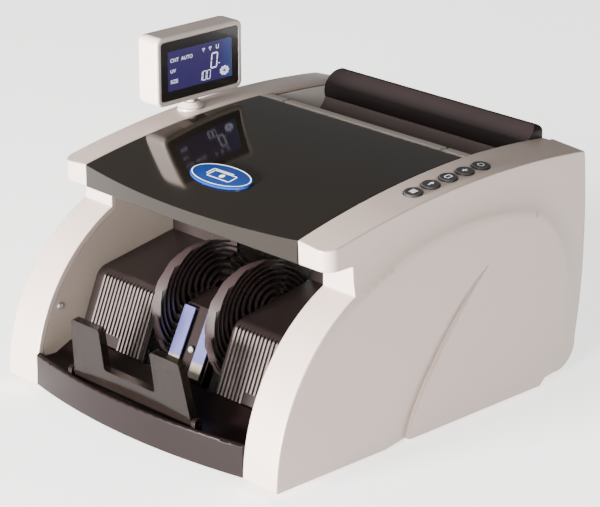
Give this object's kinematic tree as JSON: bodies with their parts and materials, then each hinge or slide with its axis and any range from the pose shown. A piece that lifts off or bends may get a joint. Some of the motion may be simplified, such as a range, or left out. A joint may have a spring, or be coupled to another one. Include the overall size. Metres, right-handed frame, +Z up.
{
  "type": "banknote counting machine",
  "caption": "Desktop banknote counter with rear hopper, spiral-bladed stacker wheels, front tray, hinged lid, key row and swivelling side display.",
  "frame": {"origin": "centre of the overall footprint on the surface that the feet stand on", "axes": "+Y from the front tray to the back, +Z up, +X towards the shell with the key row"},
  "size_m": [0.2546, 0.2875, 0.213],
  "materials": {
    "badge_blue": "domed resin badge",
    "base_steel": "zinc-plated sheet",
    "bearing_brass": "sintered bronze",
    "board_green": "solder mask",
    "button_black": "satin black keys",
    "core_steel": "varnished laminations",
    "cover_grey": "fine textured warm grey",
    "frame_olive": "satin olive-grey moulding",
    "housing_silver": "silver-white satin paint",
    "inlet_black": "matt black",
    "lcd_blue": "lit blue screen",
    "leaf_chrome": "polished spring leaf",
    "lid_black": "piano black",
    "motor_can": "plated steel can",
    "moulding_dark": "glossy brown-black moulding",
    "panel_black": "glossy black surround",
    "pin_steel": "ground steel",
    "pulley_white": "natural acetal",
    "roller_grey": "ground roller rubber",
    "rubber_black": "matt rubber",
    "screw_steel": "zinc-plated",
    "shell_pearl": "pearl silver-white satin paint",
    "stalk_grey": "satin grey",
    "stop_smoke": "smoke-tinted translucent plastic",
    "strip_brown": "matt grey-brown",
    "switch_red": "glossy red",
    "tray_dark": "glossy brown-black moulding",
    "wheel_black": "semi-gloss flexible moulding"
  },
  "bodies": {
    "machine": {"base_plate": "base_steel", "cross_bars": "pin_steel", "drive_belts": "rubber_black", "exit_guide": "moulding_dark", "feed_gate": "strip_brown", "feet": "rubber_black", "front_tray": "tray_dark", "guide_centre": "moulding_dark", "guide_left": "moulding_dark", "guide_right": "moulding_dark", "hopper_bar": "moulding_dark", "hopper_bed": "moulding_dark", "hopper_cheeks": "frame_olive", "key_board": "board_green", "leaf_strips": "leaf_chrome", "lid_hinge_pins": "pin_steel", "main_board": "board_green", "mains_inlet": "inlet_black", "motor": "motor_can", "rear_cover": "cover_grey", "screws": "screw_steel", "separator_block": "rubber_black", "shaft_bearings": "bearing_brass", "shell_left": "shell_pearl", "shell_right": "shell_pearl", "side_frame_left": "frame_olive", "side_frame_right": "frame_olive", "switch_frame": "inlet_black", "transformer": "core_steel"},
    "lid_cover": {"lid": "lid_black", "badge": "badge_blue"},
    "impellers": {"impeller_left": "wheel_black", "impeller_right": "wheel_black", "impeller_shaft": "pin_steel", "impeller_pulley": "pulley_white"},
    "transport": {"transport_shaft": "pin_steel", "transport_rollers": "roller_grey", "transport_pulleys": "pulley_white"},
    "feed": {"feed_shaft": "pin_steel", "feed_rollers": "roller_grey", "feed_pulleys": "pulley_white"},
    "pickup": {"pickup_shaft": "pin_steel", "pickup_rollers": "roller_grey", "pickup_pulley": "pulley_white"},
    "pinch": {"pinch_shaft": "pin_steel", "pinch_rollers": "pulley_white"},
    "motor_rotor": {"motor_pulley": "pulley_white"},
    "stop": {"stop_plate": "stop_smoke"},
    "rocker": {"switch_rocker": "switch_red"},
    "knob": {"gap_knob": "inlet_black"},
    "stalk": {"display_stalk": "stalk_grey"},
    "display": {"display_case_front": "housing_silver", "display_case_back": "housing_silver", "display_panel": "panel_black", "display_lcd": "lcd_blue"},
    "key_1": {"button_1": "button_black"},
    "key_2": {"button_2": "button_black"},
    "key_3": {"button_3": "button_black"},
    "key_4": {"button_4": "button_black"},
    "key_5": {"button_5": "button_black"}
  },
  "joints": [
    {"name": "lid_hinge", "type": "hinge", "parent": "machine", "child": "lid_cover", "pos_m": [0, 0.058, 0.15745], "axis": [-1, 0, 0], "range_deg": [0, 100]},
    {"name": "feed_spin", "type": "hinge", "parent": "machine", "child": "feed", "pos_m": [0, 0.0388, 0.094], "axis": [1, 0, 0], "continuous": true},
    {"name": "transport_spin", "type": "hinge", "parent": "machine", "child": "transport", "pos_m": [0, 0.0008, 0.102], "axis": [1, 0, 0], "continuous": true},
    {"name": "pickup_spin", "type": "hinge", "parent": "machine", "child": "pickup", "pos_m": [0, 0.0963, 0.1108], "axis": [1, 0, 0], "continuous": true},
    {"name": "impeller_spin", "type": "hinge", "parent": "machine", "child": "impellers", "pos_m": [0, -0.0552, 0.061], "axis": [1, 0, 0], "continuous": true},
    {"name": "pinch_spin", "type": "hinge", "parent": "machine", "child": "pinch", "pos_m": [0, -0.0027, 0.1202], "axis": [1, 0, 0], "continuous": true},
    {"name": "motor_spin", "type": "hinge", "parent": "machine", "child": "motor_rotor", "pos_m": [0, 0.0888, 0.044], "axis": [1, 0, 0], "continuous": true},
    {"name": "stop_tilt", "type": "hinge", "parent": "machine", "child": "stop", "pos_m": [0, -0.1345, 0.028], "axis": [1, 0, 0], "range_deg": [0, 70]},
    {"name": "rocker_tip", "type": "hinge", "parent": "machine", "child": "rocker", "pos_m": [0.032, 0.1353, 0.036], "axis": [-1, 0, 0], "range_deg": [0, 14]},
    {"name": "gap_knob_turn", "type": "hinge", "parent": "machine", "child": "knob", "pos_m": [0, 0.1368, 0.132], "axis": [0, -1, 0], "range_deg": [-150, 150]},
    {"name": "display_swivel", "type": "hinge", "parent": "machine", "child": "stalk", "pos_m": [-0.11, 0.0128, 0.156], "axis": [0, 0, 1], "range_deg": [-90, 90]},
    {"name": "display_tilt", "type": "hinge", "parent": "stalk", "child": "display", "pos_m": [-0.11, 0.0128, 0.1715], "axis": [0, 1, 0], "range_deg": [-25, 25]},
    {"name": "key_1_press", "type": "slide", "parent": "machine", "child": "key_1", "axis": [-0.103, 0.0927, -0.9904], "range_m": [0, 0.0015], "stiffness_N_per_m": 300, "springref_m": -0.0006},
    {"name": "key_2_press", "type": "slide", "parent": "machine", "child": "key_2", "axis": [-0.1032, 0.0712, -0.9921], "range_m": [0, 0.0015], "stiffness_N_per_m": 300, "springref_m": -0.0006},
    {"name": "key_3_press", "type": "slide", "parent": "machine", "child": "key_3", "axis": [-0.1033, 0.0488, -0.9934], "range_m": [0, 0.0015], "stiffness_N_per_m": 300, "springref_m": -0.0006},
    {"name": "key_4_press", "type": "slide", "parent": "machine", "child": "key_4", "axis": [-0.1034, 0.0275, -0.9943], "range_m": [0, 0.0015], "stiffness_N_per_m": 300, "springref_m": -0.0006},
    {"name": "key_5_press", "type": "slide", "parent": "machine", "child": "key_5", "axis": [-0.1034, 0.0066, -0.9946], "range_m": [0, 0.0015], "stiffness_N_per_m": 300, "springref_m": -0.0006}
  ],
  "couplings": [
    {"joint": "transport_spin", "follows": "feed_spin", "ratio": 1.4},
    {"joint": "pickup_spin", "follows": "feed_spin", "ratio": 1},
    {"joint": "impeller_spin", "follows": "feed_spin", "ratio": 0.58333},
    {"joint": "pinch_spin", "follows": "feed_spin", "ratio": -2.8},
    {"joint": "motor_spin", "follows": "feed_spin", "ratio": 2}
  ]
}
